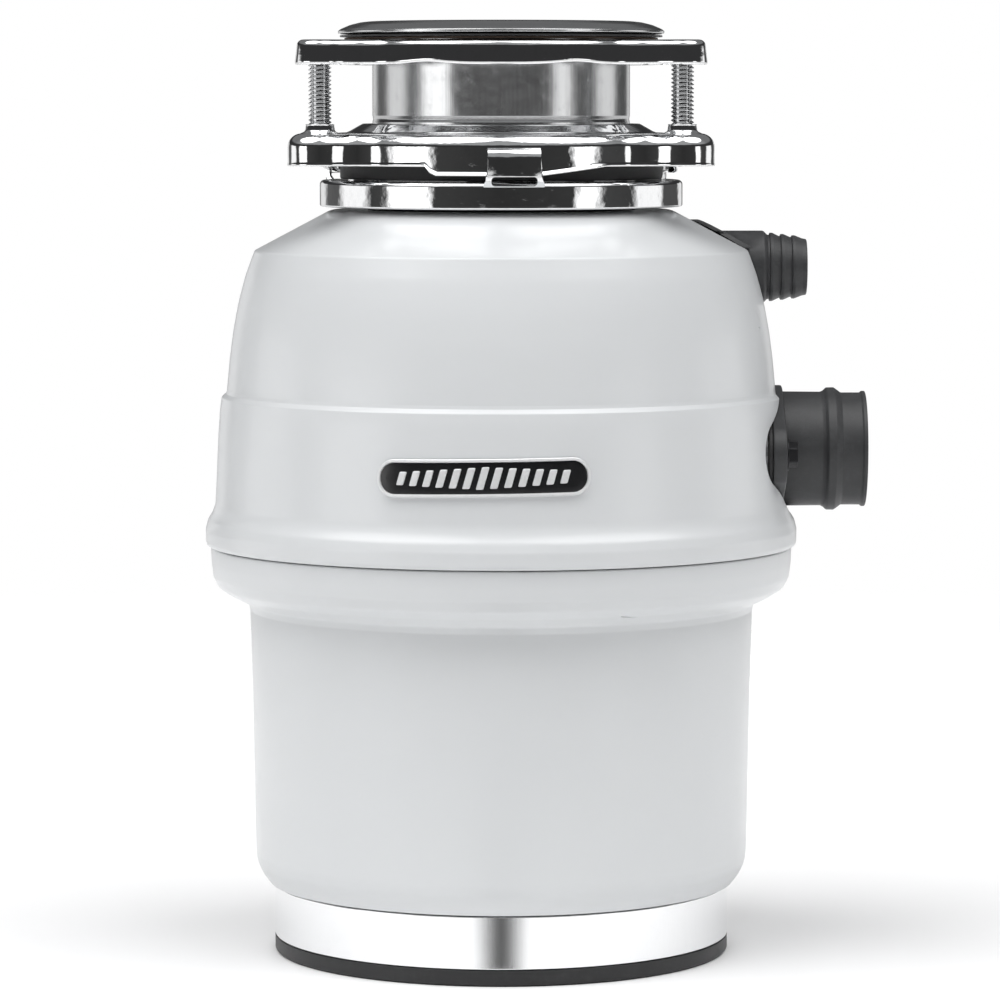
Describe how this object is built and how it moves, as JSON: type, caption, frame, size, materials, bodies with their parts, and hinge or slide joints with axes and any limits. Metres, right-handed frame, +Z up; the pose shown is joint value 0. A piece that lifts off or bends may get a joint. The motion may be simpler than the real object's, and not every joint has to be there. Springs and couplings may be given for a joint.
{
  "type": "kitchen garbage disposal",
  "caption": "Kitchen garbage disposal with a three-bolt sink mount, spinning turntable with swivel impellers, side drain outlet and dishwasher inlet.",
  "frame": {"origin": "middle of the flat underside of the base plate, on the motor shaft's axis", "axes": "+Z up along the motor shaft, +X along the drain outlet, -Y towards the front with the badge"},
  "size_m": [0.2285, 0.205, 0.322],
  "materials": {
    "white_shell": "smooth satin moulded",
    "badge_black": "gloss with raised bright rim",
    "black_plastic": "fine moulded grain",
    "outlet_black": "satin moulded",
    "grey_plastic": "matt",
    "red_plastic": "satin",
    "black_rubber": "matt",
    "gasket_fibre": "pressed fibre",
    "jacket_foam": "open-cell foam",
    "ring_chrome": "bright plated",
    "sink_flange_steel": "brushed",
    "chamber_steel": "drawn stainless",
    "screw_steel": "bright zinc plated",
    "plated_steel": "zinc plated",
    "cast_aluminium": "as cast",
    "lamination_steel": "stacked sheets",
    "winding_copper": "varnished wire"
  },
  "bodies": {
    "disposer": {"sink_flange": "sink_flange_steel", "flange_seal": "black_rubber", "mounting_ring": "ring_chrome", "snap_ring": "screw_steel", "splash_guard": "black_rubber", "upper_shell": "white_shell", "lower_shell": "white_shell", "badge_plate": "badge_black", "trim_band": "ring_chrome", "base_plate": "black_plastic", "wiring_cover": "plated_steel", "cover_screw": "plated_steel", "cable_bushing": "black_rubber", "base_screw_a": "plated_steel", "base_screw_b": "plated_steel", "base_screw_c": "plated_steel", "hopper": "chamber_steel", "neck_collar": "black_rubber", "insulation_jacket": "jacket_foam", "grind_ring": "chamber_steel", "drain_chamber": "cast_aluminium", "container_gasket": "black_rubber", "clamp_band": "plated_steel", "shaft_seal": "black_rubber", "outlet_gasket": "black_rubber", "outlet_flange": "outlet_black", "drain_tube": "outlet_black", "outlet_screw_front": "plated_steel", "outlet_screw_rear": "plated_steel", "dishwasher_inlet": "outlet_black", "stator_core": "lamination_steel", "winding_top": "winding_copper", "winding_bottom": "winding_copper", "upper_bearing": "plated_steel", "lower_bearing": "plated_steel", "lower_end_frame": "cast_aluminium", "through_bolt_1": "plated_steel", "through_bolt_2": "plated_steel", "through_bolt_3": "plated_steel", "through_bolt_4": "plated_steel", "motor_leads": "grey_plastic", "overload_protector": "black_plastic", "start_switch": "grey_plastic"},
    "lock_ring_body": {"lock_ring": "ring_chrome"},
    "sink_clamp": {"backup_ring": "ring_chrome", "fibre_gasket": "gasket_fibre"},
    "screw_a": {"clamp_screw_a": "screw_steel"},
    "screw_b": {"clamp_screw_b": "screw_steel"},
    "screw_c": {"clamp_screw_c": "screw_steel"},
    "turntable_body": {"turntable": "chamber_steel", "turntable_nut": "plated_steel", "impeller_rivet_a": "plated_steel", "impeller_rivet_b": "plated_steel", "motor_shaft": "plated_steel", "rotor_core": "lamination_steel", "cooling_fan": "cast_aluminium"},
    "impeller_a_body": {"impeller_a": "chamber_steel"},
    "impeller_b_body": {"impeller_b": "chamber_steel"},
    "reset_button_body": {"reset_button": "red_plastic"}
  },
  "joints": [
    {"name": "turntable_spin", "type": "hinge", "parent": "disposer", "child": "turntable_body", "pos_m": [0, 0, 0.2], "axis": [0, 0, 1], "continuous": true},
    {"name": "impeller_a_swing", "type": "hinge", "parent": "turntable_body", "child": "impeller_a_body", "pos_m": [0.042, 0, 0.2], "axis": [0, 0, 1], "continuous": true},
    {"name": "impeller_b_swing", "type": "hinge", "parent": "turntable_body", "child": "impeller_b_body", "pos_m": [-0.042, 0, 0.2], "axis": [0, 0, 1], "continuous": true},
    {"name": "lock_ring_turn", "type": "hinge", "parent": "disposer", "child": "lock_ring_body", "pos_m": [0, 0, 0.26], "axis": [0, 0, 1], "range_deg": [-35, 0]},
    {"name": "sink_clamp_slide", "type": "slide", "parent": "disposer", "child": "sink_clamp", "axis": [0, 0, 1], "range_m": [-0.008, 0]},
    {"name": "screw_a_turn", "type": "hinge", "parent": "sink_clamp", "child": "screw_a", "pos_m": [-0.06123, -0.03535, 0.29], "axis": [0, 0, 1], "range_deg": [-2042, 0]},
    {"name": "screw_b_turn", "type": "hinge", "parent": "sink_clamp", "child": "screw_b", "pos_m": [0.06123, -0.03535, 0.29], "axis": [0, 0, 1], "range_deg": [-2042, 0]},
    {"name": "screw_c_turn", "type": "hinge", "parent": "sink_clamp", "child": "screw_c", "pos_m": [0, 0.0707, 0.29], "axis": [0, 0, 1], "range_deg": [-2042, 0]},
    {"name": "reset_button_pop", "type": "slide", "parent": "disposer", "child": "reset_button_body", "axis": [0, 0, -1], "range_m": [0, 0.004]}
  ],
  "couplings": [
    {"joint": "screw_a_turn", "follows": "sink_clamp_slide", "rad_per_m": 4452.7},
    {"joint": "screw_b_turn", "follows": "sink_clamp_slide", "rad_per_m": 4452.7},
    {"joint": "screw_c_turn", "follows": "sink_clamp_slide", "rad_per_m": 4452.7}
  ]
}
